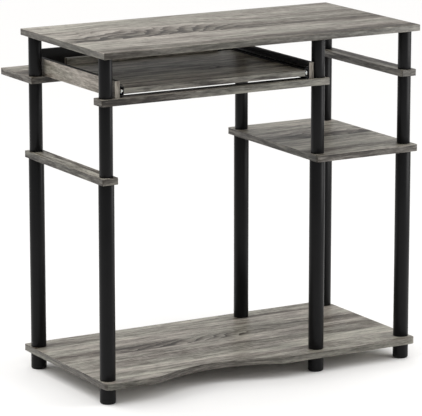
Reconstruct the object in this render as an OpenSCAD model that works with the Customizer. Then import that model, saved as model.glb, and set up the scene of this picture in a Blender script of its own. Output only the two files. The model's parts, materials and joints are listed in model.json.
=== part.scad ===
// Computer desk with a pull-out keyboard tray.
// Boards are clamped between post tubes that screw together end to end, so each post is a stack:
// foot, board, lower tube, board, middle tube, board, top tube, tabletop.
// Millimetres, +Z up, front edge towards -Y, origin on the floor under the middle of the desk.

/* [Boards] */
// Thickness of every board that the posts clamp
board_t = 14; // [12:0.5:18]
// Depth of the tabletop and the shelves
top_d = 384; // [372:1:480]
// Distance between the posts on either side of the leg room
leg_bay = 515; // [470:1:700]
// Distance between the posts on either side of the small shelf
shelf_bay = 222; // [150:1:320]
// Width of the side strips and the front rail
strip_w = 38; // [36:0.5:48]
// Depth of the rear board under the keyboard unit
rear_board_d = 150; // [110:1:200]
// Radius of the bottom shelf's front corners
shelf_corner_r = 12; // [2:0.5:30]
// Radius of the bottom shelf's rear corners and of the corners of every board above it but the tabletop
small_corner_r = 3; // [1:0.5:16]

/* [Leg room curve] */
// Width of the curve cut into the front edge of the bottom shelf
curve_w = 305; // [200:5:340]
// Depth of the curve at its middle
curve_depth = 39; // [20:1:60]
// Offset of the curve from the middle of the leg room
curve_shift = 4; // [-10:1:10]
// Radius that blends each end of the curve into the straight edge
curve_blend_r = 40; // [10:5:60]

/* [Posts] */
// Distance from the front or rear edge of the boards to the post centres
post_inset = 31.5; // [26:0.5:45]
// Height of each foot
foot_h = 36; // [25:1:60]
// How far a foot stands proud of the tube above it
foot_lip = 0.25; // [0:0.25:3]
// Rounding at the bottom edge of each foot
foot_round = 4; // [1:0.5:8]
// Length of the lower tubes
lower_tube_h = 421; // [300:1:500]
// Length of the middle tubes
mid_tube_h = 151; // [120:1:250]
// Length of the top tubes
top_tube_h = 86; // [75:1:140]
// Outer diameter of the lower tubes
lower_tube_d = 33.5; // [28:0.5:36]
// Outer diameter of the middle and top tubes
upper_tube_d = 29; // [24:0.5:32]
// Wall of every tube
tube_wall = 2; // [1:0.1:2.5]
// Diameter of the studs that join the posts through the boards
stud_d = 12; // [8:0.5:12.5]
// How far a stud reaches into the socket above its board
stud_reach = 18; // [12:1:24]
// Height of the plugs inside the tubes
plug_h = 30; // [26:1:34]
// Depth of the inserts in the underside of the tabletop
insert_h = 10; // [7:0.5:11]
// Wall of those inserts around their stud
insert_wall = 3; // [2:0.5:4]

/* [Keyboard unit] */
// Thickness of the two side boards
side_board_t = 11; // [9:0.5:16]
// Height of the side boards
side_board_h = 36; // [36:1:44]
// Gap between a side board and the posts beside it
side_board_gap = 2.5; // [1:0.5:10]
// Distance from the desk's front edge to the front ends of the side boards
unit_setback = 22; // [14:1:30]
// How far the side boards run on behind the rear posts
side_board_tail = 51.5; // [40:0.5:70]
// Thickness of the keyboard tray
tray_t = 12; // [10:0.5:14]
// Gap between the front rail and the tray
tray_lift = 7.5; // [6.5:0.5:10]
// Travel of the tray
travel = 240; // [150:5:240]
// Thickness of the board behind the tray
stop_t = 12; // [9:0.5:16]
// Width of the board behind the tray
stop_w = 375; // [250:1:390]
// Height of the board behind the tray
stop_h = 34; // [20:1:60]
// Distance from the front edge of the rear board to the board behind the tray
stop_setback = 4.5; // [0:0.5:20]
// Distance from the ends of that board to its end screws
stop_screw_inset = 40; // [15:1:80]
// Gap between the tray and the board behind it
stop_gap = 2; // [1:0.5:10]
// Thickness of the black back panel
panel_t = 4; // [3:0.5:6]
// Height of the black back panel
panel_h = 49; // [30:1:70]
// Distance from the rear ends of the side boards to the back panel
panel_inset = 3; // [2:0.5:8]
// Depth of the grooves that hold the back panel
groove_depth = 4; // [2:0.5:5]

/* [Slides] */
// Length of the closed slides
slide_len = 325; // [300:1:325]
// Height of the slides
slide_h = 27; // [26:0.5:35]
// Space that a slide takes between its side board and the tray
slide_space = 10; // [9.8:0.1:13]
// Gap between the front rail and the slides
slide_lift = 0.5; // [0.3:0.1:1]
// Distance from the front ends of the side boards to the slides
slide_setback = 1; // [0:0.5:4]
// Thickness of the slides' sheet steel
sheet_t = 1; // [0.8:0.1:1.1]
// Diameter of the balls
ball_d = 3; // [2.6:0.1:3.2]
// Number of balls in each row
ball_count = 4; // [2:1:5]
// Distance between balls in a row
ball_pitch = 20; // [10:1:20]
// Distance from the ends of a cage to the nearest ball
cage_margin = 9; // [5:1:12]
// Thickness of the cages' sheet
cage_t = 0.6; // [0.5:0.1:0.8]
// Edge of the cage outside its ball holes
cage_rim = 0.7; // [0.5:0.1:0.9]
// Distance from the ends of a slide to its end screws
slide_screw_inset = 25; // [22:1:60]
// Height of the bumper tabs
bumper_h = 8.5; // [6:0.5:11]
// Length of the bumper tabs along the slide
bumper_len = 4.5; // [4:0.5:12]
// Thickness of the bumper tabs
bumper_t = 1.6; // [1:0.1:3]
// Rounding at the corners of the bumper tabs
bumper_r = 0.8; // [0.3:0.1:2]
// Diameter of the shoulder that a bumper tab stands on
bumper_shoulder_d = 4; // [3.6:0.1:4.4]
// Distance from the front end of a slide to its bumper tab
bumper_inset = 1; // [0.5:0.5:6]

/* [Screws] */
// Diameter of the screws that hold the boards
board_screw_d = 3.5; // [3:0.1:4.5]
// How far those screws reach past the board under them
board_screw_grip = 22; // [12:1:30]
// Diameter of the screws that hold the slides
slide_screw_d = 3; // [2.5:0.1:3.4]
// Length of the screws into the side boards
side_screw_len = 10; // [7:0.5:10]
// Length of the screws into the tray
tray_screw_len = 14; // [8:0.5:20]

/* [Fits] */
// Gap around each plug, stud, insert and screw
fit_gap = 0.1; // [0.05:0.05:0.3]
// Gap around each stud where it passes through a board
board_hole_gap = 0.5; // [0.2:0.1:1]
// Gap left at the blind end of each socket
socket_gap = 2; // [1:0.5:3]
// Gap around the balls in their races
race_gap = 0.3; // [0.2:0.05:0.4]
// Gap between the balls and their cage
ball_hole_gap = 0.15; // [0.1:0.05:0.3]
// Gap between the cages and the sheet beside them
cage_gap = 0.4; // [0.3:0.05:0.6]
// Gap around the back panel in its grooves
groove_gap = 0.25; // [0.1:0.05:0.5]

/* [Hidden] */
$fn = 96;
// Extra reach of a cut past the face that it opens
cut = 1;
// Sides of the arcs on the largest radii
fine = 360;

wood = "#7a6f63";
black_plastic = "#26262a";
black_steel = "#1e1e20";
steel = "#a9abae";
nylon = "#e8e6e0";

// Plan positions, from the left and front edges of the tabletop
post_side = strip_w / 2;
top_w = leg_bay + shelf_bay + strip_w;
inner_x = post_side + leg_bay;
right_x = inner_x + shelf_bay;
rear_y = top_d - post_inset;
rear_board_y = rear_y - strip_w / 2;
overall_d = rear_board_y + rear_board_d;
rail_w = inner_x + post_side;
bay_x = post_side + leg_bay / 2;

POSTS = ["front_left", "front_inner", "front_right", "rear_left", "rear_inner", "rear_right"];
post_x = [post_side, inner_x, right_x, post_side, inner_x, right_x];
post_y = [post_inset, post_inset, post_inset, rear_y, rear_y, rear_y];
LEFT_POSTS = [0, 3];
INNER_POSTS = [1, 4];
RIGHT_POSTS = [2, 5];
ALL_POSTS = [for (i = [0 : len(POSTS) - 1]) i];

// Levels, from the floor up
lower_z = foot_h + board_t;
mid_board_z = lower_z + lower_tube_h;
mid_z = mid_board_z + board_t;
rail_z = mid_z + mid_tube_h;
unit_z = rail_z + board_t;
tabletop_z = unit_z + top_tube_h;

// Tube joints
lower_plug_d = lower_tube_d - 2 * tube_wall - 2 * fit_gap;
upper_plug_d = upper_tube_d - 2 * tube_wall - 2 * fit_gap;
socket_d = stud_d + 2 * fit_gap;
board_hole_d = stud_d + 2 * board_hole_gap;
insert_d = socket_d + 2 * insert_wall;
insert_floor = 1;
top_stud_reach = insert_h - insert_floor - 1;

// Keyboard unit
side_inner_x = post_side + upper_tube_d / 2 + side_board_gap + side_board_t;
unit_w = 2 * (bay_x - side_inner_x);
side_board_len = rear_y + side_board_tail - unit_setback;
stop_y = rear_board_y + stop_setback;
tray_x = side_inner_x + slide_space;
tray_w = unit_w - 2 * slide_space;
tray_d = stop_y - stop_gap - unit_setback;
tray_z = unit_z + tray_lift;
panel_y = unit_setback + side_board_len - panel_inset - panel_t;
side_screw_x = side_inner_x - side_board_t / 2;
stop_screw_reach = stop_w / 2 - stop_screw_inset;
stop_screw_x = [bay_x - stop_screw_reach, bay_x, bay_x + stop_screw_reach];

// Slide section: s runs from the side board towards the tray, h up from the middle of the slide
slide_y = unit_setback + slide_setback;
slide_z = unit_z + slide_lift + slide_h / 2;
ball_r = ball_d / 2;
race_r = ball_r + race_gap;
lip_r = race_r + sheet_t;
ball_s = slide_space / 2;
ball_h = slide_h / 2 - lip_r;
inner_half_h = ball_h - race_r;
lip_end = 20;
cage_s = sheet_t + cage_gap;
cage_len = (ball_count - 1) * ball_pitch + 2 * cage_margin;
cage_w = ball_s - cage_s + ball_r + ball_hole_gap + cage_rim;
cage_end_gap = 2;
cage_y = slide_y + cage_end_gap + travel / 2;
slide_screw_y = [
    slide_y + slide_screw_inset,
    slide_y + slide_len / 2,
    slide_y + slide_len - slide_screw_inset
];
tray_screw_h = tray_z + tray_t / 2 - slide_z;
bumper_y = slide_y + bumper_inset + bumper_len / 2;
bumper_stem_len = sheet_t + 8;

SIDES = ["left", "right"];

// Puts a piece drawn from the left and front edges of the tabletop into the desk's own frame
module desk_frame() {
    translate([-top_w / 2, -overall_d / 2, 0]) children();
}

// Places a copy at each listed post
module at_posts(list) {
    for (i = list) translate([post_x[i], post_y[i], 0]) children();
}

// Places a slide's own section on the left or right side board; +X then runs towards the tray
module on_side(side) {
    if (side == "left") translate([side_inner_x, 0, slide_z]) children();
    if (side == "right") translate([side_inner_x + unit_w, 0, slide_z]) mirror([1, 0, 0]) children();
}

// Extrudes a section drawn in X and Z along +Y
module along_y(length) {
    translate([0, length, 0]) rotate([90, 0, 0]) linear_extrude(length) children();
}

module rounded_outline(w, d, front_r, rear_r) {
    translate([front_r, 0]) square([w - 2 * front_r, d - rear_r]);
    translate([rear_r, front_r]) square([w - 2 * rear_r, d - front_r]);
    translate([0, front_r]) square([w, d - front_r - rear_r]);
    for (x = [front_r, w - front_r]) translate([x, front_r]) circle(r = front_r);
    for (x = [rear_r, w - rear_r]) translate([x, d - rear_r]) circle(r = rear_r);
}

// A flat board with rounded corners, lying at a plan position and height
module board(x, y, z, w, d, r) {
    translate([x, y, z]) linear_extrude(board_t) rounded_outline(w, d, r, r);
}

// Holes for the studs of the listed posts, through a board whose underside is at z
module stud_holes(list, z) {
    at_posts(list) translate([0, 0, z - cut]) cylinder(d = board_hole_d, h = board_t + 2 * cut);
}

// Countersunk screw with its head's face at z = 0 and its shank towards -Z
module screw(d, length) {
    tip = d;
    translate([0, 0, -d / 2]) cylinder(d1 = d, d2 = 2 * d, h = d / 2);
    translate([0, 0, tip - length]) cylinder(d = d, h = length - tip - d / 2);
    translate([0, 0, -length]) cylinder(d1 = d / 4, d2 = d, h = tip);
}

// The hole that such a screw sits in
module screw_hole(d, length) {
    wide = d + 2 * fit_gap;
    translate([0, 0, -d / 2]) cylinder(d1 = wide, d2 = wide + d, h = d / 2);
    translate([0, 0, -length - fit_gap]) cylinder(d = wide, h = length + fit_gap);
    cylinder(d = wide + d, h = cut);
}

// Places a screw or its hole at each fixing of a side board, heads under the rail and rear board
module at_side_board_screws() {
    for (x = [side_screw_x, 2 * bay_x - side_screw_x]) for (y = [post_inset, rear_y])
        translate([x, y, rail_z]) mirror([0, 0, 1]) children();
}

module at_stop_screws() {
    for (x = stop_screw_x) translate([x, stop_y + stop_t / 2, rail_z]) mirror([0, 0, 1]) children();
}

// Heads in the outer channel, shanks into the side board
module at_side_screws(side) {
    on_side(side) for (y = slide_screw_y) translate([sheet_t, y, 0]) rotate([0, 90, 0]) children();
}

// Heads in the inner channel, shanks into the edge of the tray
module at_tray_screws(side) {
    on_side(side) for (y = slide_screw_y)
        translate([slide_space - sheet_t, y, tray_screw_h]) rotate([0, -90, 0]) children();
}

module at_bumper(side) {
    on_side(side) translate([slide_space - sheet_t, bumper_y, tray_screw_h]) rotate([0, -90, 0]) children();
}

// Boards

module tabletop() {
    color(wood) desk_frame() difference() {
        translate([0, 0, tabletop_z]) cube([top_w, top_d, board_t]);
        at_posts(ALL_POSTS) translate([0, 0, tabletop_z - cut])
            cylinder(d = insert_d + 2 * fit_gap, h = insert_h + cut);
    }
}

// The curve is an arc in the shelf's front edge, with each end rounded over a tangent blend arc
module leg_curve() {
    half = curve_w / 2;
    arc_r = (half * half + curve_depth * curve_depth) / (2 * curve_depth);
    centre_y = curve_depth - arc_r;
    blend_x = sqrt(pow(arc_r + curve_blend_r, 2) - pow(curve_blend_r - centre_y, 2));
    touch = arc_r / (arc_r + curve_blend_r);
    translate([0, centre_y]) circle(r = arc_r, $fn = fine);
    for (side = [-1, 1]) scale([side, 1]) difference() {
        polygon([
            [blend_x, curve_blend_r],
            [blend_x, 0],
            [blend_x, -cut],
            [blend_x * touch, -cut],
            [blend_x * touch, centre_y + (curve_blend_r - centre_y) * touch]
        ]);
        translate([blend_x, curve_blend_r]) circle(r = curve_blend_r, $fn = fine);
    }
}

module bottom_shelf() {
    color(wood) desk_frame() difference() {
        translate([0, 0, foot_h]) linear_extrude(board_t) difference() {
            rounded_outline(top_w, top_d, shelf_corner_r, small_corner_r);
            translate([bay_x + curve_shift, 0]) leg_curve();
        }
        stud_holes(ALL_POSTS, foot_h);
    }
}

module small_shelf() {
    shelf_x = inner_x - post_side;
    color(wood) desk_frame() difference() {
        board(shelf_x, 0, mid_board_z, top_w - shelf_x, top_d, small_corner_r);
        stud_holes(concat(INNER_POSTS, RIGHT_POSTS), mid_board_z);
    }
}

// A narrow board that joins a front and a rear post, as far past them as it is wide at each side
module strip(list, x, z) {
    color(wood) desk_frame() difference() {
        board(x - strip_w / 2, post_inset - strip_w / 2, z,
            strip_w, rear_y - post_inset + strip_w, small_corner_r);
        stud_holes(list, z);
    }
}

module left_strip() {
    strip(LEFT_POSTS, post_side, mid_board_z);
}

module right_strip() {
    strip(RIGHT_POSTS, right_x, rail_z);
}

module front_rail() {
    color(wood) desk_frame() difference() {
        board(0, post_inset - strip_w / 2, rail_z, rail_w, strip_w, small_corner_r);
        stud_holes([0, 1], rail_z);
        at_side_board_screws() screw_hole(board_screw_d, board_t + board_screw_grip);
    }
}

module rear_board() {
    color(wood) desk_frame() difference() {
        board(0, rear_board_y, rail_z, rail_w, rear_board_d, small_corner_r);
        stud_holes([3, 4], rail_z);
        at_side_board_screws() screw_hole(board_screw_d, board_t + board_screw_grip);
        at_stop_screws() screw_hole(board_screw_d, board_t + board_screw_grip);
    }
}

// Keyboard unit

module side_board(side) {
    x = side == "left" ? side_inner_x - side_board_t : side_inner_x + unit_w;
    color(wood) desk_frame() difference() {
        translate([x, unit_setback, unit_z]) cube([side_board_t, side_board_len, side_board_h]);
        at_side_board_screws() screw_hole(board_screw_d, board_t + board_screw_grip);
        at_side_screws(side) screw_hole(slide_screw_d, side_screw_len);
        translate([side_inner_x - groove_depth, panel_y - groove_gap, unit_z - cut])
            cube([unit_w + 2 * groove_depth, panel_t + 2 * groove_gap, side_board_h + 2 * cut]);
    }
}

module keyboard_tray() {
    color(wood) desk_frame() difference() {
        translate([tray_x, unit_setback, tray_z]) cube([tray_w, tray_d, tray_t]);
        for (side = SIDES) {
            at_tray_screws(side) screw_hole(slide_screw_d, tray_screw_len);
            at_bumper(side) bumper_stem_hole();
        }
    }
}

module tray_stop() {
    color(wood) desk_frame() difference() {
        translate([bay_x - stop_w / 2, stop_y, unit_z]) cube([stop_w, stop_t, stop_h]);
        at_stop_screws() screw_hole(board_screw_d, board_t + board_screw_grip);
    }
}

// Stands on the rear board and slides down into a groove in each side board
module back_panel() {
    reach = groove_depth - groove_gap;
    color(black_plastic) desk_frame()
        translate([side_inner_x - reach, panel_y, unit_z]) cube([unit_w + 2 * reach, panel_t, side_board_h]);
    color(black_plastic) desk_frame()
        translate([side_inner_x + fit_gap, panel_y, unit_z]) cube([unit_w - 2 * fit_gap, panel_t, panel_h]);
}

// Posts

// A black moulded foot whose stud rises through the bottom shelf into the lower tube
module foot(i) {
    r = lower_tube_d / 2 + foot_lip;
    color(black_plastic) desk_frame() at_posts([i]) {
        rotate_extrude() {
            translate([0, foot_round]) square([r, foot_h - foot_round]);
            square([r - foot_round, foot_round + cut]);
            translate([r - foot_round, foot_round]) circle(r = foot_round);
        }
        translate([0, 0, foot_h - cut]) cylinder(d = stud_d, h = board_t + stud_reach + cut);
    }
}

module tube(i, z, h, d) {
    color(black_plastic) desk_frame() at_posts([i]) translate([0, 0, z]) difference() {
        cylinder(d = d, h = h);
        translate([0, 0, -cut]) cylinder(d = d - 2 * tube_wall, h = h + 2 * cut);
    }
}

// Plug in the bottom of a tube, bored for the stud that comes up through the board below
module socket_plugs(z, d) {
    color(black_plastic) desk_frame() at_posts(ALL_POSTS) translate([0, 0, z]) difference() {
        cylinder(d = d, h = plug_h);
        translate([0, 0, -cut]) cylinder(d = socket_d, h = stud_reach + socket_gap + cut);
    }
}

// Plug in the top of a tube; its stud passes through the board above
module stud_plugs(z, d, stud_h) {
    color(black_plastic) desk_frame() at_posts(ALL_POSTS) {
        translate([0, 0, z - plug_h]) cylinder(d = d, h = plug_h);
        translate([0, 0, z - cut]) cylinder(d = stud_d, h = stud_h + cut);
    }
}

module top_inserts() {
    color(black_plastic) desk_frame() at_posts(ALL_POSTS) translate([0, 0, tabletop_z]) difference() {
        cylinder(d = insert_d, h = insert_h);
        translate([0, 0, -cut]) cylinder(d = socket_d, h = insert_h - insert_floor + cut);
    }
}

// Slides

// Ring sector of less than 90 degrees
module race_arc(start, end) {
    reach = 2 * lip_r;
    difference() {
        intersection() {
            circle(r = lip_r);
            polygon([[0, 0], reach * [cos(start), sin(start)], reach * [cos(end), sin(end)]]);
        }
        circle(r = race_r);
    }
}

// Channel screwed to the side board: its lips wrap over the balls
module outer_section() {
    translate([0, -slide_h / 2]) square([sheet_t, slide_h]);
    for (half = [0, 1]) mirror([0, half]) {
        translate([0, slide_h / 2 - sheet_t]) square([ball_s, sheet_t]);
        translate([ball_s, ball_h]) race_arc(lip_end, 90);
    }
}

// Channel screwed to the tray: its lips wrap under the balls
module inner_section() {
    translate([slide_space - sheet_t, -inner_half_h]) square([sheet_t, 2 * inner_half_h]);
    for (half = [0, 1]) mirror([0, half]) {
        translate([ball_s, inner_half_h - sheet_t]) square([slide_space - ball_s, sheet_t]);
        translate([ball_s, ball_h]) race_arc(180 + lip_end, 270);
    }
}

module slide_outer(side) {
    color(black_steel) desk_frame() difference() {
        on_side(side) translate([0, slide_y, 0]) along_y(slide_len) outer_section();
        at_side_screws(side) screw_hole(slide_screw_d, side_screw_len);
    }
}

module slide_inner(side) {
    color(black_steel) desk_frame() difference() {
        on_side(side) translate([0, slide_y, 0]) along_y(slide_len) inner_section();
        at_tray_screws(side) screw_hole(slide_screw_d, tray_screw_len);
        at_bumper(side) bumper_stem_hole();
    }
}

// Places a copy at every ball of one slide
module at_balls() {
    for (h = [-ball_h, ball_h]) for (i = [0 : ball_count - 1])
        translate([ball_s, cage_y + cage_margin + i * ball_pitch, h]) children();
}

module slide_cage(side) {
    color(black_steel) desk_frame() on_side(side) difference() {
        translate([cage_s, cage_y, -ball_h - cage_t / 2]) cube([cage_w, cage_len, 2 * ball_h + cage_t]);
        translate([cage_s + cage_t, cage_y - cut, -ball_h + cage_t / 2])
            cube([cage_w, cage_len + 2 * cut, 2 * ball_h - cage_t]);
        at_balls() cylinder(r = ball_r + ball_hole_gap, h = cage_t + 2 * cut, center = true);
    }
}

module slide_balls(side) {
    color(steel) desk_frame() on_side(side) at_balls() sphere(r = ball_r);
}

// A tab in the middle of the slide, on a shouldered stem through the inner channel into the tray
module bumper() {
    reach = slide_space - sheet_t - ball_s;
    translate([-bumper_h / 2, -bumper_len / 2, reach - bumper_t / 2]) linear_extrude(bumper_t)
        rounded_outline(bumper_h, bumper_len, bumper_r, bumper_r);
    cylinder(d = bumper_shoulder_d, h = reach);
    translate([0, 0, -bumper_stem_len]) cylinder(d = slide_screw_d, h = bumper_stem_len + reach);
}

module bumper_stem_hole() {
    translate([0, 0, -bumper_stem_len - fit_gap])
        cylinder(d = slide_screw_d + 2 * fit_gap, h = bumper_stem_len + fit_gap + cut);
}

module slide_bumpers() {
    color(nylon) desk_frame() for (side = SIDES) at_bumper(side) bumper();
}

// Screws

module slide_screws() {
    color(steel) desk_frame() for (side = SIDES) at_side_screws(side) screw(slide_screw_d, side_screw_len);
}

module tray_screws() {
    color(steel) desk_frame() for (side = SIDES) at_tray_screws(side) screw(slide_screw_d, tray_screw_len);
}

module side_board_screws() {
    color(steel) desk_frame() at_side_board_screws() screw(board_screw_d, board_t + board_screw_grip);
}

module stop_screws() {
    color(steel) desk_frame() at_stop_screws() screw(board_screw_d, board_t + board_screw_grip);
}

tabletop();
bottom_shelf();
small_shelf();
left_strip();
right_strip();
front_rail();
rear_board();
side_board("left");  // left_side_board
side_board("right");  // right_side_board
keyboard_tray();
tray_stop();
back_panel();
for (i = ALL_POSTS) {
    foot(i);
    tube(i, lower_z, lower_tube_h, lower_tube_d);
    tube(i, mid_z, mid_tube_h, upper_tube_d);
    tube(i, unit_z, top_tube_h, upper_tube_d);
}
socket_plugs(lower_z, lower_plug_d);  // lower_socket_plugs
stud_plugs(mid_board_z, lower_plug_d, board_t + stud_reach);  // lower_stud_plugs
socket_plugs(mid_z, upper_plug_d);  // mid_socket_plugs
stud_plugs(rail_z, upper_plug_d, board_t + stud_reach);  // mid_stud_plugs
socket_plugs(unit_z, upper_plug_d);  // top_socket_plugs
stud_plugs(tabletop_z, upper_plug_d, top_stud_reach);  // top_stud_plugs
top_inserts();
for (side = SIDES) {
    slide_outer(side);
    slide_inner(side);
    slide_cage(side);
    slide_balls(side);
}
slide_bumpers();
slide_screws();
tray_screws();
side_board_screws();
stop_screws();
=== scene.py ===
"""Looks of a computer desk with a pull-out keyboard tray: wood laminate boards, black posts and ball-bearing slides.

Every length is in metres and every place is in the desk's own frame: +X to the right, -Y towards the sitter, +Z up.
"""

import json
import math

import bmesh
import bpy
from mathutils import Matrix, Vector

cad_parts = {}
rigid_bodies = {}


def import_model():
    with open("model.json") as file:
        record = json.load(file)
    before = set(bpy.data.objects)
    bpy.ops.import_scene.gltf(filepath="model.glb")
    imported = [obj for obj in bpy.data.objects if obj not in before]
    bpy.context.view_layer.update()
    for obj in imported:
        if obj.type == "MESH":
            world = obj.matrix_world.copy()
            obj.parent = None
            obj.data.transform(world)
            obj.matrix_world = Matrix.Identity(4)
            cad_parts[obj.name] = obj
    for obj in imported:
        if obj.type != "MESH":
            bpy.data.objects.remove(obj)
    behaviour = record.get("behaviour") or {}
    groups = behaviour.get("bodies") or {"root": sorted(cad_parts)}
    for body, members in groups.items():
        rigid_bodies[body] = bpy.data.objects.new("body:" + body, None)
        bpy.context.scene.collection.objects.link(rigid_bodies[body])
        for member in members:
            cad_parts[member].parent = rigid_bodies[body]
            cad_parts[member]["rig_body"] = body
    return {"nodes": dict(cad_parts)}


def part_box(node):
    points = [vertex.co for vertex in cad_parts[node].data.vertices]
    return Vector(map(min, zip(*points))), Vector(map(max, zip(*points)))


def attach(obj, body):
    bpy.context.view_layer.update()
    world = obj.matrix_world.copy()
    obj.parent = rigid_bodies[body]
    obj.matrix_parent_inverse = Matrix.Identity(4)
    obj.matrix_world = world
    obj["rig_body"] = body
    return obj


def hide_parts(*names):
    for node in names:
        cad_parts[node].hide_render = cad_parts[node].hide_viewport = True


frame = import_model()

bl_info = {
    "name": "Computer desk looks",
    "version": (1, 0, 0),
    "blender": (4, 5, 0),
    "location": "3D View > Sidebar > Desk",
    "description": "Finishes the boards, posts, slides and screws of a computer desk with a keyboard tray",
    "category": "Object",
}

POSTS = ("front_left", "front_inner", "front_right", "rear_left", "rear_inner", "rear_right")
TUBE_KINDS = ("lower_tube", "mid_tube", "top_tube")
SIDES = ("left", "right")
MM = 0.001

# Limits and counts for the work on the meshes
CAD_MERGE = 0.002 * MM  # corners of a CAD node's loose triangles that are nearer than this are one point
SAME_POINT = 0.001 * MM  # points of a new mesh that are nearer than this are one point
FLAT_ANGLE = math.radians(0.6)  # triangles that meet at less than this make one flat face
SHARP_ANGLE = math.radians(40)  # board edges that turn by more than this are softened
POST_HOLE_REACH = 12 * MM  # edges nearer than this to a post's middle are the rim of its hole
SMALL_WALL = 60 * MM * MM  # area under which a face may be the wall of a screw hole or a groove
WALL_DEPTH = 0.3 * MM  # least distance from the board's outside to the middle of such a wall
SQUARE = 0.9999  # largest part of a normal, above which a face is square to the desk
TRUE_PLANE = 0.9995  # the same, above which a board's face is shaded flat
FACED_SIDE = 0.8  # how closely a face has to point to a black side to be coloured black
TUBE_END = 0.9  # upright part of a normal, above which a tube's face is its flat end
TUBE_WALL = 2 * MM
SHELF_CORNER_FOUND = 4.5 * MM  # reach of the small shelf's first corner rounding from the corner points
EDGE_SEGMENTS = 3
CORNER_SEGMENTS = 8
TUBE_SEGMENTS = 72

# Stage
FLOOR_WHITE = (0.93, 0.922, 0.912, 1.0)
FLOOR_REACH = 40.0
CAMERA_AZIMUTH = math.radians(-30.053)
CAMERA_PITCH = math.radians(12.334)
CAMERA_PLACE = (-3.1529, -5.4554, 1.7174)
CAMERA_LENS = 250.0  # millimetres, for a sensor of the next width
CAMERA_SENSOR = 36.0
CAMERA_REACH = 100.0


# ---------------------------------------------------------------- shader maths


class Wire:
    """A shader socket whose arithmetic adds Math nodes."""

    def __init__(self, shader, socket):
        self.shader = shader
        self.socket = socket

    def maths(self, operation, *values):
        return self.shader.node("ShaderNodeMath", {"operation": operation}, dict(enumerate(values)))

    def __add__(self, other):
        return self.maths("ADD", self, other)

    def __radd__(self, other):
        return self.maths("ADD", other, self)

    def __sub__(self, other):
        return self.maths("SUBTRACT", self, other)

    def __rsub__(self, other):
        return self.maths("SUBTRACT", other, self)

    def __mul__(self, other):
        return self.maths("MULTIPLY", self, other)

    def __rmul__(self, other):
        return self.maths("MULTIPLY", other, self)

    def __pow__(self, other):
        return self.maths("POWER", self, other)

    def __rpow__(self, other):
        return self.maths("POWER", other, self)

    def root(self):
        return self.maths("SQRT", self)

    def part(self):
        """What is left above the last whole number."""
        return self.maths("FRACT", self)

    def past(self, low):
        """How far it is above low, or 0 below it."""
        return self.maths("MAXIMUM", self - low, 0.0)

    def ease(self, low, high):
        """0 below low, 1 above high and smooth between them."""
        settings = {"interpolation_type": "SMOOTHSTEP"}
        return self.shader.node("ShaderNodeMapRange", settings, {0: self, 1: low, 2: high, 3: 0.0, 4: 1.0})


class Shader:
    """A new material and the nodes that feed its Principled shader."""

    # The Mix node's sockets when it mixes colours, which share their names with others of it
    MIX_FACTOR, MIX_FIRST, MIX_SECOND, MIX_RESULT = 0, 6, 7, 2

    def __init__(self, name):
        self.material = bpy.data.materials.new(name)
        self.material.use_nodes = True
        self.tree = self.material.node_tree
        self.surface = self.tree.nodes["Principled BSDF"]

    def node(self, kind, settings=None, inputs=None, output=0):
        made = self.tree.nodes.new(kind)
        for name, value in (settings or {}).items():
            if name == "stops":
                self.set_stops(made.color_ramp, value)
            else:
                setattr(made, name, value)
        for key, value in (inputs or {}).items():
            self.feed(made.inputs[key], value)
        return Wire(self, made.outputs[output])

    def feed(self, socket, value):
        if isinstance(value, Wire):
            self.tree.links.new(value.socket, socket)
        else:
            socket.default_value = value

    @staticmethod
    def set_stops(ramp, stops):
        while len(ramp.elements) < len(stops):
            ramp.elements.new(0.5)
        for element, (position, colour) in zip(ramp.elements, stops):
            element.position = position
            element.color = (*colour, 1.0)

    def split(self, vector):
        parts = self.node("ShaderNodeSeparateXYZ", inputs={0: vector})
        return [Wire(self, output) for output in parts.socket.node.outputs]

    def join(self, x, y, z):
        return self.node("ShaderNodeCombineXYZ", inputs={0: x, 1: y, 2: z})

    def object_place(self):
        """Where a point is, in the desk's frame."""
        return self.node("ShaderNodeTexCoord", output="Object")

    def noise(self, vector, scale, detail, roughness):
        inputs = {"Vector": vector, "Scale": scale, "Detail": detail, "Roughness": roughness}
        return self.node("ShaderNodeTexNoise", inputs=inputs)

    def ramp(self, value, stops):
        return self.node("ShaderNodeValToRGB", {"stops": stops}, {0: value})

    def mix(self, factor, one, other, blend="MIX"):
        settings = {"data_type": "RGBA", "blend_type": blend}
        inputs = {self.MIX_FACTOR: factor, self.MIX_FIRST: one, self.MIX_SECOND: other}
        return self.node("ShaderNodeMix", settings, inputs, self.MIX_RESULT)

    def bump(self, height, distance, strength):
        inputs = {"Strength": strength, "Distance": distance, "Height": height}
        return self.node("ShaderNodeBump", inputs=inputs)

    def set(self, **sockets):
        """Feeds the Principled shader's sockets, with _ for the spaces in their names, and returns the material."""
        for name, value in sockets.items():
            self.feed(self.surface.inputs[name.replace("_", " ")], value)
        return self.material


# ---------------------------------------------------------------- sizes and colours


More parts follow.
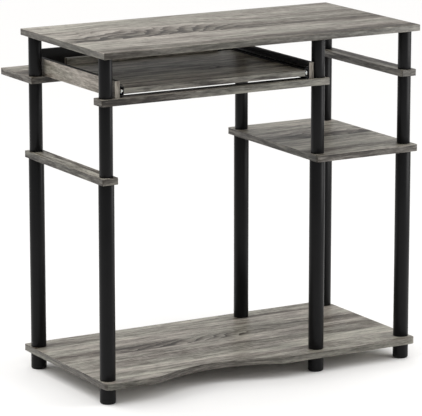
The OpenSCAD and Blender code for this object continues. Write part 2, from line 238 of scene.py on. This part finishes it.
class DeskLookSettings(bpy.types.PropertyGroup):
    """Sizes and colours of the desk's finish."""

    shelf_corner: bpy.props.FloatProperty(
        name="Shelf corners", description="Radius of the small shelf's corners",
        default=8.0 * MM, min=0.0, subtype="DISTANCE", unit="LENGTH")
    edge_softness: bpy.props.FloatProperty(
        name="Edge softness", description="Width of the rounding along the boards' edges", default=1.2 * MM,
        min=0.2 * MM, max=4 * MM, subtype="DISTANCE", unit="LENGTH")
    tube_softness: bpy.props.FloatProperty(
        name="Tube softness", description="Rounding of the post tubes' ends", default=0.8 * MM,
        min=0.1 * MM, max=2 * MM, subtype="DISTANCE", unit="LENGTH")
    wood_dark: bpy.props.FloatVectorProperty(
        name="Wood, dark", description="Colour of the darkest grain lines", default=(0.026, 0.019, 0.013),
        subtype="COLOR", min=0.0, max=1.0)
    wood_deep: bpy.props.FloatVectorProperty(
        name="Wood, deep", description="Colour of the deeper bands", default=(0.099, 0.080, 0.061),
        subtype="COLOR", min=0.0, max=1.0)
    wood_main: bpy.props.FloatVectorProperty(
        name="Wood, main", description="Main colour of the laminate", default=(0.190, 0.172, 0.148),
        subtype="COLOR", min=0.0, max=1.0)
    wood_pale: bpy.props.FloatVectorProperty(
        name="Wood, pale", description="Colour of the palest streaks", default=(0.380, 0.350, 0.305),
        subtype="COLOR", min=0.0, max=1.0)
    # Multiplies the edges' colour: partly the banding's darker print, partly painted shade for the dimly lit front
    # edges
    edge_banding_and_shade: bpy.props.FloatVectorProperty(
        name="Edge shade", description="Shade that darkens the print on the banding along the edges",
        default=(0.36, 0.365, 0.365), subtype="COLOR", min=0.0, max=1.0)
    black_facing: bpy.props.FloatVectorProperty(
        name="Black facing", description="Colour of the back panel and of the keyboard unit's inner faces",
        default=(0.0120, 0.0120, 0.0128), subtype="COLOR", min=0.0, max=1.0)
    black: bpy.props.FloatVectorProperty(
        name="Black plastic", description="Colour of the posts and feet", default=(0.0050, 0.0050, 0.0054),
        subtype="COLOR", min=0.0, max=1.0)
    black_roughness: bpy.props.FloatProperty(
        name="Black roughness", description="Roughness of the posts and feet", default=0.33, min=0.0, max=1.0)
    black_gloss: bpy.props.FloatProperty(
        name="Black gloss", description="Strength of the reflections on the posts and feet", default=0.13,
        min=0.0, max=1.0)
    left_power: bpy.props.FloatProperty(
        name="Left softbox", description="Power of the soft light behind on the left", default=7.0, min=0.0,
        unit="POWER")
    right_power: bpy.props.FloatProperty(
        name="Right softbox", description="Power of the soft light in front on the right", default=9.0, min=0.0,
        unit="POWER")
    sky_strength: bpy.props.FloatProperty(
        name="Surroundings", description="Brightness of the white surroundings", default=0.55, min=0.0)
    overhead_strength: bpy.props.FloatProperty(
        name="Overhead light", description="Strength of the wide light overhead", default=1.75, min=0.0)


def look():
    return bpy.context.scene.desk_look


# ---------------------------------------------------------------- materials


# Grain of each board:
# - along: the axis that the grain runs along
# - centre: the line across the board behind which the growth rings run dark
# - flames: its row of flames, as the places of the first and the last tip, the reach across and the slope
# - saw: how much of the saw's marks it shows
# - bands: its darker bands, as place across, half the width and depth
# - light, edge_light: how light its faces and its edges are, where its grain starts (left or front) and where it
#   ends:
#   partly the boards' own tones and partly painted light and shade, as marked at each board below
# - figure: how bold its figure is
# - banding: how much of the darker banding, with its painted shade, its edges show
# - black: the directions of its faces that are coloured black
# - seed: a number that sets it apart from its neighbours
X, Y = 0, 1
LEFT, RIGHT, DOWN, UP = (-1, 0, 0), (1, 0, 0), (0, 0, -1), (0, 0, 1)
PLAIN = {
    "along": X, "flames": (0.6, 0.9, 0.05, 30.0),  # past the end of every board, so that no flames show
    "saw": 0.3, "bands": (), "figure": 1.2, "banding": 1.0, "black": ()}
GRAINS = {
    "tabletop": {
        **PLAIN, "centre": -0.094, "flames": (-0.350, 0.020, 0.110, 30.0), "saw": 0.9,
        # Painted shade: the top darkens towards the right, away from the left lamp, and its edges are darker at the
        # left end
        "bands": ((-0.222, 0.026, 0.22),), "light": (0.0, -0.11), "edge_light": (-0.15, 0.05),
        "figure": 0.78, "seed": 3.1},
    "bottom_shelf": {
        **PLAIN, "centre": -0.034, "flames": (-0.215, 0.090, 0.042, 45.0), "saw": 0.8,
        # Painted light and shade: the top is lighter at the left, where the tabletop shades it, and darker at the
        # right
        "bands": ((-0.102, 0.020, 0.20), (0.100, 0.010, 0.14)), "light": (0.06, -0.03), "edge_light": (-0.02, 0.03),
        "figure": 0.9, "seed": 7.7},
    "small_shelf": {
        **PLAIN, "centre": -0.060, "flames": (0.205, 0.330, 0.080, 30.0), "saw": 0.7,
        "bands": ((-0.200, 0.030, 0.20),), "light": (0.20, 0.06), "edge_light": (0.0, 0.0),
        "figure": 1.1, "seed": 12.4},
    "keyboard_tray": {
        **PLAIN, "centre": -0.105, "flames": (-0.080, 0.060, 0.030, 45.0), "saw": 0.6,
        "bands": ((-0.047, 0.010, 0.20), (-0.172, 0.005, 0.16), (-0.212, 0.008, 0.16)),
        # Painted light: the tray is made lighter than the other boards for the shade it lies in under the tabletop
        "light": (0.12, 0.12), "edge_light": (-0.06, -0.06),
        "figure": 1.3, "black": (DOWN,), "seed": 17.9},
    "tray_stop": {
        **PLAIN, "centre": 0.900, "saw": 0.0, "light": (0.04, 0.04), "edge_light": (0.0, 0.0),
        "banding": 0.0, "seed": 21.3},
    "front_rail": {
        # Painted shade: the front edge darkens towards the left, where the front gets little light
        **PLAIN, "centre": -0.216, "light": (0.0, 0.0), "edge_light": (-0.20, 0.02), "seed": 26.8},
    "rear_board": {
        # Painted shade: the rear board darkens towards its left end, which the left lamp lights strongly
        **PLAIN, "centre": 0.130, "light": (-0.20, 0.0), "edge_light": (-0.06, 0.0), "seed": 31.5},
    "left_strip": {
        # Painted shade: darker all over, for the strong light of the left lamp on it
        **PLAIN, "along": Y, "centre": -0.366, "light": (-0.08, -0.08), "edge_light": (-0.05, -0.05), "seed": 36.2},
    "right_strip": {
        **PLAIN, "along": Y, "centre": 0.362, "light": (-0.06, -0.06), "edge_light": (-0.06, -0.06), "seed": 41.6},
    "left_side_board": {
        **PLAIN, "along": Y, "centre": 0.590, "saw": 0.0, "light": (0.05, 0.05), "edge_light": (-0.1, -0.1),
        "figure": 0.7, "banding": 0.0, "black": (RIGHT, UP, DOWN), "seed": 46.9},
    "right_side_board": {
        **PLAIN, "along": Y, "centre": 0.600, "saw": 0.0, "light": (0.05, 0.05), "edge_light": (-0.16, -0.16),
        "figure": 0.7, "banding": 0.0, "black": (LEFT, UP, DOWN), "seed": 52.3},
}

# Layers of the wood's print: repeats per metre in its first direction (for the strands, per ring) and in its second,
# a number that sets it apart from the other layers, its octaves and its roughness
LAYERS = {
    "drift": (2.2, 5.0, 0.0, 2.0, 0.5),
    "jitter": (11.0, 22.0, 1.3, 3.0, 0.55),
    "strands": (4.5, 14.0, 5.5, 2.0, 0.6),
    "bands": (1.4, 20.0, 2.1, 2.0, 0.5),
    "long_lines": (4.0, 48.0, 4.9, 3.0, 0.6),
    "short_lines": (14.0, 120.0, 3.7, 4.0, 0.75),
    "fibres": (60.0, 380.0, 5.9, 3.0, 0.7),
    "pores": (60.0, 900.0, 8.3, 1.0, 0.5),
    "patches": (4.0, 20.0, 11.7, 2.0, 0.5),
    "saw": (160.0, 26.0, 9.1, 0.0, 0.5),
    "warmth": (3.0, 30.0, 15.0, 2.0, 0.5),
}
RING_WANDER = 0.016  # how far the rings wander across the board
RING_BOW = 0.3  # how far they bow round the flames, as a share of the flames' reach
SHADOW_DEPTH = 0.20  # of the shadow behind the centre line
SHADOW_CLEARED = 0.10  # what the flames take off it
FLAME_PACE = 34.0  # rings that run into the row of flames over its first metre
FLAME_GROWTH = 1.5  # power at which they come faster along the row
FLAME_JITTER = 3.0  # how many rings a tip strays by
FLAME_SHARPNESS = 5.0  # power that narrows the dark line at each tip
FLAME_LINE, FLAME_FILL = 0.85, 0.50  # depths of that line and of the wood behind it
FLAME_STRANDS = 1.7  # how strongly the strands break the flames up
LONG_LINES = 0.7  # strength of the long lines against the short ones
EDGE_BOLDNESS = 0.4  # how much bolder the figure is on the edges

# What each layer adds to the tone, which runs from dark at 0 to pale at 1, and to the height of the surface
TONE = {"base": 0.65, "bands": 0.60, "flames": 0.85, "lines": 1.5, "fibres": 0.78, "pores": 0.10, "saw": 0.34}
RELIEF = {"lines": 0.6, "fibres": 0.7, "pores": 0.5, "saw": 0.5}
RELIEF_DEPTH = 0.25 * MM
COLOUR_TONES = (0.16, 0.36, 0.54, 0.80, 1.0)  # tones at which the dark, deep, main, pale and brightest colours lie
BRIGHTEST = 1.45  # the brightest colour against the pale one
WOOD_ROUGHNESS = 0.46
PALE_POLISH = 0.10  # how much smoother the palest wood is than the darkest
FACING_DULLNESS = 0.25  # how much rougher the black faces are than the wood
COOL_TINT = (0.972, 1.0, 0.962, 1.0)
WARM_TINT = (1.014, 0.993, 0.984, 1.0)
WHITE = (1.0, 1.0, 1.0, 1.0)


def wood_material(name, grain):
    """Grey-brown weathered oak laminate. The map's U runs along the grain and its V across it."""
    shader = Shader(name + "_wood")
    u, v, _ = shader.split(shader.node("ShaderNodeUVMap", {"uv_map": "grain"}))
    edge = shader.node("ShaderNodeAttribute", {"attribute_name": "edge"}, output="Fac")
    black = shader.node("ShaderNodeAttribute", {"attribute_name": "black"}, output="Fac")
    face = 1.0 - edge

    def layer(kind, first, second):
        first_repeats, second_repeats, apart, octaves, roughness = LAYERS[kind]
        place = shader.join(first * first_repeats, second * second_repeats, grain["seed"] + apart)
        return shader.noise(place, scale=1.0, detail=octaves, roughness=roughness)

    # The rings wander a little along the board and bow round the row of flames
    drift = layer("drift", u, v) - 0.5
    away = v - grain["centre"] + drift * RING_WANDER
    start, end, reach, slope = grain["flames"]
    bow = u.ease(start, start + 0.15) * (1.0 - u.ease(end - 0.10, end + 0.15))
    ring = away - bow * away.ease(0.0, reach) * (1.0 - away.ease(reach, reach * 3.0)) * reach * RING_BOW

    # Dark behind the centre line, clearing slowly towards the back
    shadow = away.ease(-0.003, 0.003) * (1.0 - away.ease(0.01, 0.09))
    depth = shadow * (SHADOW_DEPTH - bow * SHADOW_CLEARED)
    for place, half_width, strength in grain["bands"]:
        offset = ring - (place - grain["centre"])
        depth = depth + (1.0 - (offset * offset).root().ease(half_width * 0.3, half_width * 1.5)) * strength

    # Flames: rings that run along the board, lean off to the back and end in sharp tips on the centre line, wide at
    # the first one and narrower further on
    rise = u.past(start) ** FLAME_GROWTH * FLAME_PACE * (1.0 - u.ease(end - 0.05, end + 0.35))
    lean = rise - away * slope + layer("jitter", u, v) * FLAME_JITTER
    row = away.ease(-0.003, 0.002) * (1.0 - away.ease(reach * 0.3, reach * 1.3))
    row = row * (1.0 - u.ease(end - 0.2, end + 0.2)) * u.ease(start - 0.05, start + 0.02)
    tip = 1.0 - lean.part()
    flames = (tip ** FLAME_SHARPNESS * FLAME_LINE + tip * FLAME_FILL) * row
    flames = flames * (layer("strands", lean, away) * FLAME_STRANDS)

    bands = layer("bands", u, ring) - 0.5
    lines = (layer("long_lines", u, ring) - 0.5) * LONG_LINES + (layer("short_lines", u, ring) - 0.5)
    fibres = layer("fibres", u, ring) - 0.5
    pores = layer("pores", u, ring).ease(0.62, 0.78)

    # Short marks of the saw across the grain, in patches of the broad faces
    patches = layer("patches", u, ring).ease(0.48, 0.66) * face * grain["saw"]
    saw = patches * (layer("saw", u, v) - 0.5)

    def between_ends(pair):
        return pair[0] + u.ease(-0.4, 0.4) * (pair[1] - pair[0])

    figure = (1.0 + edge * EDGE_BOLDNESS) * grain["figure"]
    # Each board's light and edge_light bring painted light and shade into the tone, along with the boards' own tones
    tone = TONE["base"] + between_ends(grain["light"]) * face + between_ends(grain["edge_light"]) * edge
    tone = tone + bands * figure * TONE["bands"] - (depth + flames * TONE["flames"]) * face
    tone = tone + lines * figure * TONE["lines"] + fibres * TONE["fibres"]
    tone = tone - pores * TONE["pores"] + saw * TONE["saw"]
    settings = look()
    colours = [settings.wood_dark, settings.wood_deep, settings.wood_main, settings.wood_pale,
               [c * BRIGHTEST for c in settings.wood_pale]]
    colour = shader.ramp(tone, list(zip(COLOUR_TONES, colours)))
    warmth = layer("warmth", u, ring).ease(0.42, 0.60)
    colour = shader.mix(1.0, colour, shader.mix(warmth, COOL_TINT, WARM_TINT), "MULTIPLY")

    # The edges are darker partly because the banding is a darker shade of the same print and partly as painted
    # shade, which stands in for the little light that the edges facing the front get
    banding = shader.mix(edge * grain["banding"], WHITE, (*settings.edge_banding_and_shade, 1.0))
    colour = shader.mix(1.0, colour, banding, "MULTIPLY")
    colour = shader.mix(black, colour, (*settings.black_facing, 1.0))

    roughness = WOOD_ROUGHNESS - tone * PALE_POLISH + black * FACING_DULLNESS
    relief = lines * RELIEF["lines"] + fibres * RELIEF["fibres"] - pores * RELIEF["pores"] + saw * RELIEF["saw"]
    normal = shader.bump(relief, distance=RELIEF_DEPTH, strength=0.8)
    return shader.set(Base_Color=colour, Roughness=roughness, Normal=normal, Specular_IOR_Level=0.38)


def moulded_material(name, colour, roughness, gloss, peel_size=0.6 * MM):
    """Satin moulded or extruded plastic with a faint orange-peel skin."""
    shader = Shader(name)
    place = shader.object_place()
    peel = shader.noise(place, scale=1.0 / peel_size, detail=1.0, roughness=0.5)
    patches = shader.noise(place, scale=14.0, detail=3.0, roughness=0.6)
    shade = shader.ramp(patches, [(0.3, [c * 0.82 for c in colour]), (0.7, [c * 1.20 for c in colour])])
    dull = roughness - 0.05 + patches * 0.10
    skin = shader.bump(peel, distance=0.02 * MM, strength=0.6)
    return shader.set(Base_Color=shade, Roughness=dull, Normal=skin, Specular_IOR_Level=gloss)


def painted_steel_material(name, colour, roughness):
    """Thin satin black coating on sheet steel, with faint drawing lines along the slide."""
    shader = Shader(name)
    x, y, z = shader.split(shader.object_place())
    drawn = shader.noise(shader.join(x * 900.0, y * 12.0, z * 900.0), scale=1.0, detail=2.0, roughness=0.6)
    rub = shader.noise(shader.join(x * 60.0, y * 20.0, z * 60.0), scale=1.0, detail=3.0, roughness=0.6)
    shade = shader.ramp(rub, [(0.35, [c * 0.8 for c in colour]), (0.70, [c * 1.6 for c in colour])])
    dull = roughness - 0.08 + drawn * 0.16
    normal = shader.bump(drawn, distance=0.02 * MM, strength=0.5)
    return shader.set(Base_Color=shade, Metallic=0.35, Roughness=dull, Normal=normal)


def plated_steel_material(name):
    """Zinc-plated steel with a soft, slightly blue lustre."""
    shader = Shader(name)
    cloud = shader.noise(shader.object_place(), scale=240.0, detail=3.0, roughness=0.6)
    shade = shader.ramp(cloud, [(0.3, (0.46, 0.47, 0.50)), (0.7, (0.66, 0.67, 0.69))])
    return shader.set(Base_Color=shade, Metallic=1.0, Roughness=0.22 + cloud * 0.18)


def nylon_material(name):
    """White nylon that has yellowed a little."""
    shader = Shader(name)
    cloud = shader.noise(shader.object_place(), scale=300.0, detail=2.0, roughness=0.5)
    shade = shader.ramp(cloud, [(0.3, (0.70, 0.69, 0.64)), (0.7, (0.82, 0.81, 0.77))])
    return shader.set(Base_Color=shade, Roughness=0.36 + cloud * 0.08, Subsurface_Weight=0.1)


def assign(thing, material):
    thing.data.materials.clear()
    thing.data.materials.append(material)


# ---------------------------------------------------------------- meshes


def finish_piece(piece, node, material):
    """Shows a new piece in a node's place, on the node's body."""
    assign(piece, material)
    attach(piece, frame["nodes"][node]["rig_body"])
    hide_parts(node)


def object_from(name, bm):
    mesh = bpy.data.meshes.new(name)
    bm.to_mesh(mesh)
    bm.free()
    made = bpy.data.objects.new(name, mesh)
    bpy.context.scene.collection.objects.link(made)
    return made


def merged_copy(node):
    """A bmesh of a CAD node with its loose triangles joined and its flat faces made whole."""
    bm = bmesh.new()
    bm.from_mesh(frame["nodes"][node].data)
    bmesh.ops.remove_doubles(bm, verts=bm.verts, dist=CAD_MERGE)
    bmesh.ops.dissolve_limit(bm, angle_limit=FLAT_ANGLE, verts=bm.verts, edges=bm.edges)
    return bm


def post_middles():
    """Plan positions of the six posts."""
    middles = []
    for post in POSTS:
        low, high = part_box("foot_" + post)
        middles.append(((low.x + high.x) / 2, (low.y + high.y) / 2))
    return middles


def corners(bm):
    """Lowest and highest corner of a mesh's box."""
    low = Vector([min(vert.co[i] for vert in bm.verts) for i in range(3)])
    high = Vector([max(vert.co[i] for vert in bm.verts) for i in range(3)])
    return low, high


def outer_edges(bm, middles):
    """Sharp edges of a board, apart from the rims of the holes inside it."""
    low, high = corners(bm)
    chosen = []
    for edge in bm.edges:
        if len(edge.link_faces) != 2 or edge.calc_face_angle(0.0) < SHARP_ANGLE:
            continue
        place = (edge.verts[0].co + edge.verts[1].co) / 2
        if any(math.hypot(place.x - x, place.y - y) < POST_HOLE_REACH for x, y in middles):
            continue
        if any(wall_of_hole(face, low, high) for face in edge.link_faces):
            continue
        chosen.append(edge)
    return chosen


def wall_of_hole(face, low, high):
    """Whether a small face belongs to a screw hole or groove and not to the board's outside."""
    middle = face.calc_center_median()
    depth = min(min(middle[i] - low[i], high[i] - middle[i]) for i in range(3))
    return face.calc_area() < SMALL_WALL and depth > WALL_DEPTH and max(abs(c) for c in face.normal) < SQUARE


def map_board(bm, along, black_sides):
    """Lays the grain map, U along the grain or along an end, and marks the edges round the two broad faces and the
    faces that are black."""
    low, high = corners(bm)
    size = [high[i] - low[i] for i in range(3)]
    thin = size.index(min(size))
    grain = bm.loops.layers.uv.new("grain")
    edge = bm.faces.layers.float.new("edge")
    black = bm.faces.layers.float.new("black")
    for face in bm.faces:
        facing = max(range(3), key=lambda i: abs(face.normal[i]))
        span = [i for i in range(3) if i != facing]
        first = along if along in span else max(span, key=lambda i: size[i])
        second = sum(span) - first
        face[edge] = 1.0 - abs(face.normal[thin])
        face[black] = float(any(face.normal.dot(Vector(side)) > FACED_SIDE for side in black_sides))
        for loop in face.loops:
            loop[grain].uv = (loop.vert.co[first], loop.vert.co[second])


def soften(bm, edges, width, segments):
    bmesh.ops.bevel(bm, geom=edges, offset=width, offset_type="OFFSET", segments=segments, profile=0.5,
                    affect="EDGES", clamp_overlap=True, material=-1)


def round_corners(bm, found, radius):
    """Gives the upright corners of a rectangular board, now rounded within found of their points, another radius."""
    low, high = corners(bm)
    points = [Vector((x, y)) for x in (low.x, high.x) for y in (low.y, high.y)]
    for vert in bm.verts:
        for point in points:
            if (vert.co.xy - point).length < found:
                vert.co.xy = point
    bmesh.ops.dissolve_degenerate(bm, edges=bm.edges, dist=SAME_POINT)
    bmesh.ops.remove_doubles(bm, verts=bm.verts, dist=SAME_POINT)
    upright = [edge for edge in bm.edges
               if any(all((vert.co.xy - point).length < SAME_POINT for vert in edge.verts) for point in points)]
    soften(bm, upright, radius, CORNER_SEGMENTS)


def shade(bm):
    """Flat on the true planes, smooth on everything rounded."""
    for face in bm.faces:
        face.smooth = max(abs(c) for c in face.normal) < TRUE_PLANE


def make_board(node, grain, middles):
    """Copies a board's CAD node, softens its edges and lays its grain."""
    bm = merged_copy(node)
    if node == "small_shelf":
        round_corners(bm, SHELF_CORNER_FOUND, look().shelf_corner)
    soften(bm, outer_edges(bm, middles), look().edge_softness, EDGE_SEGMENTS)
    shade(bm)
    map_board(bm, grain["along"], grain["black"])
    board = object_from(node + "_board", bm)
    finish_piece(board, node, wood_material(node, grain))


def revolve(profile, middle):
    """A closed shell turned about the vertical line through a plan position, from points (radius, height)."""
    bm = bmesh.new()
    points = [bm.verts.new((middle[0] + radius, middle[1], height)) for radius, height in profile]
    edges = [bm.edges.new((a, b)) for a, b in zip(points, points[1:] + points[:1])]
    bmesh.ops.spin(bm, geom=points + edges, cent=(middle[0], middle[1], 0.0), axis=(0.0, 0.0, 1.0),
                   angle=2 * math.pi, steps=TUBE_SEGMENTS, use_merge=True, use_duplicate=False)
    bmesh.ops.remove_doubles(bm, verts=bm.verts, dist=SAME_POINT)
    bmesh.ops.recalc_face_normals(bm, faces=bm.faces)
    return bm


# ---------------------------------------------------------------- operators


class DESK_OT_boards(bpy.types.Operator):
    """Gives every board soft edges and its own run of wood grain"""

    bl_idname = "desk.add_boards"
    bl_label = "Boards"

    def execute(self, context):
        middles = post_middles()
        for node, grain in GRAINS.items():
            make_board(node, grain, middles)
        return {"FINISHED"}


class DESK_OT_posts(bpy.types.Operator):
    """Turns the black post tubes with softened ends"""

    bl_idname = "desk.add_posts"
    bl_label = "Post tubes"

    def execute(self, context):
        settings = look()
        plastic = moulded_material("tube_plastic", settings.black, settings.black_roughness, settings.black_gloss)
        for kind in TUBE_KINDS:
            for post in POSTS:
                self.make_tube(kind + "_" + post, plastic, settings.tube_softness)
        return {"FINISHED"}

    @staticmethod
    def make_tube(node, plastic, soft):
        """Turns one tube in its CAD node's place, its outer rims rounded in two steps of radius soft."""
        low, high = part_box(node)
        outer = (high.x - low.x) / 2
        inner = outer - TUBE_WALL
        middle = ((low.x + high.x) / 2, (low.y + high.y) / 2)
        slope = soft * (1 - math.sqrt(0.5))
        profile = [
            (inner, low.z), (outer - soft, low.z), (outer - slope, low.z + slope), (outer, low.z + soft),
            (outer, high.z - soft), (outer - slope, high.z - slope), (outer - soft, high.z), (inner, high.z),
        ]
        bm = revolve(profile, middle)
        for face in bm.faces:
            face.smooth = abs(face.normal.z) < TUBE_END
        finish_piece(object_from(node + "_shell", bm), node, plastic)


class DESK_OT_black_parts(bpy.types.Operator):
    """Finishes the feet, the plugs inside the posts and the back panel"""

    bl_idname = "desk.finish_black_parts"
    bl_label = "Feet, plugs and back panel"

    def execute(self, context):
        settings = look()
        duller = settings.black_roughness + 0.06
        feet = moulded_material("foot_plastic", settings.black, roughness=duller, gloss=settings.black_gloss)
        plug_black = [c * 1.4 for c in settings.black]
        plugs = moulded_material("plug_plastic", plug_black, roughness=0.5, gloss=0.3)
        panel = moulded_material("panel_facing", settings.black_facing, roughness=0.5, gloss=0.4, peel_size=1.0 * MM)
        for name, node in frame["nodes"].items():
            if name.startswith("foot_"):
                assign(node, feet)
            elif name.endswith("_plugs") or name == "top_inserts":
                assign(node, plugs)
        assign(frame["nodes"]["back_panel"], panel)
        return {"FINISHED"}


class DESK_OT_slides(bpy.types.Operator):
    """Finishes the ball-bearing slides, their balls and their bumpers"""

    bl_idname = "desk.finish_slides"
    bl_label = "Slides"

    def execute(self, context):
        coated = painted_steel_material("slide_steel", colour=(0.0075, 0.0075, 0.0080), roughness=0.40)
        bright = plated_steel_material("ball_steel")
        for side in SIDES:
            for part in ("outer", "inner", "cage"):
                assign(frame["nodes"][f"{side}_slide_{part}"], coated)
            assign(frame["nodes"][f"{side}_slide_balls"], bright)
        assign(frame["nodes"]["slide_bumpers"], nylon_material("bumper_nylon"))
        return {"FINISHED"}


class DESK_OT_screws(bpy.types.Operator):
    """Finishes the screws"""

    bl_idname = "desk.finish_screws"
    bl_label = "Screws"

    def execute(self, context):
        plated = plated_steel_material("screw_steel")
        for name, node in frame["nodes"].items():
            if name.endswith("_screws"):
                assign(node, plated)
        return {"FINISHED"}


class DESK_OT_stage(bpy.types.Operator):
    """Adds the floor, the soft lights, the pale surroundings and the camera"""

    bl_idname = "desk.add_stage"
    bl_label = "Stage"

    def execute(self, context):
        self.add_floor()
        settings = look()
        self.add_world(settings.sky_strength)
        self.add_area(
            "softbox_left", place=(-1.0, 0.35, 1.65), target=(0.0, 0.0, 0.45), size=1.0, power=settings.left_power)
        self.add_area(
            "softbox_right", place=(1.05, -0.85, 0.7), target=(0.1, 0.0, 0.40), size=0.8, power=settings.right_power)
        self.add_sun(
            "overhead", towards=(-0.25, 0.20, 1.0), strength=settings.overhead_strength, spread=math.radians(100))
        self.add_camera()
        context.scene.view_settings.view_transform = "Standard"
        return {"FINISHED"}

    @staticmethod
    def add_floor():
        bm = bmesh.new()
        bmesh.ops.create_grid(bm, x_segments=1, y_segments=1, size=FLOOR_REACH)
        floor = object_from("floor", bm)
        paint = Shader("floor_white").set(Base_Color=FLOOR_WHITE, Roughness=0.9, Specular_IOR_Level=0.1)
        assign(floor, paint)

    @staticmethod
    def add_world(strength):
        world = bpy.data.worlds.new("studio")
        world.use_nodes = True
        background = world.node_tree.nodes["Background"]
        background.inputs["Color"].default_value = WHITE
        background.inputs["Strength"].default_value = strength
        bpy.context.scene.world = world

    @staticmethod
    def add_area(name, place, target, size, power):
        light = bpy.data.lights.new(name, "AREA")
        light.size = size
        light.energy = power
        lamp = bpy.data.objects.new(name, light)
        lamp.location = place
        lamp.rotation_euler = (Vector(target) - Vector(place)).to_track_quat("-Z", "Y").to_euler()
        lamp.visible_camera = False
        bpy.context.scene.collection.objects.link(lamp)

    @staticmethod
    def add_sun(name, towards, strength, spread):
        light = bpy.data.lights.new(name, "SUN")
        light.energy = strength
        light.angle = spread
        lamp = bpy.data.objects.new(name, light)
        lamp.rotation_euler = Vector(towards).to_track_quat("Z", "Y").to_euler()
        bpy.context.scene.collection.objects.link(lamp)

    @staticmethod
    def add_camera():
        level = math.cos(CAMERA_PITCH)
        back = Vector((math.sin(CAMERA_AZIMUTH) * level, -math.cos(CAMERA_AZIMUTH) * level, math.sin(CAMERA_PITCH)))
        data = bpy.data.cameras.new("camera")
        data.lens = CAMERA_LENS
        data.sensor_width = CAMERA_SENSOR
        data.clip_end = CAMERA_REACH
        camera = bpy.data.objects.new("camera", data)
        camera.location = CAMERA_PLACE
        camera.rotation_euler = (-back).to_track_quat("-Z", "Y").to_euler()
        bpy.context.scene.collection.objects.link(camera)
        bpy.context.scene.camera = camera


class DESK_PT_panel(bpy.types.Panel):
    """The desk's steps in the sidebar"""

    bl_idname = "DESK_PT_panel"
    bl_label = "Computer desk"
    bl_space_type = "VIEW_3D"
    bl_region_type = "UI"
    bl_category = "Desk"

    def draw(self, context):
        for step in STEPS:
            self.layout.operator(step.bl_idname)
        for name in DeskLookSettings.__annotations__:
            self.layout.prop(context.scene.desk_look, name)


STEPS = (DESK_OT_boards, DESK_OT_posts, DESK_OT_black_parts, DESK_OT_slides, DESK_OT_screws, DESK_OT_stage)
CLASSES = (DeskLookSettings, *STEPS, DESK_PT_panel)


def register():
    for cls in CLASSES:
        bpy.utils.register_class(cls)
    bpy.types.Scene.desk_look = bpy.props.PointerProperty(type=DeskLookSettings)


def unregister():
    del bpy.types.Scene.desk_look
    for cls in reversed(CLASSES):
        bpy.utils.unregister_class(cls)


def main():
    register()
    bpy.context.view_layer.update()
    bpy.ops.desk.add_boards()
    bpy.ops.desk.add_posts()
    bpy.ops.desk.finish_black_parts()
    bpy.ops.desk.finish_slides()
    bpy.ops.desk.finish_screws()
    bpy.ops.desk.add_stage()


if __name__ == "__main__":
    main()
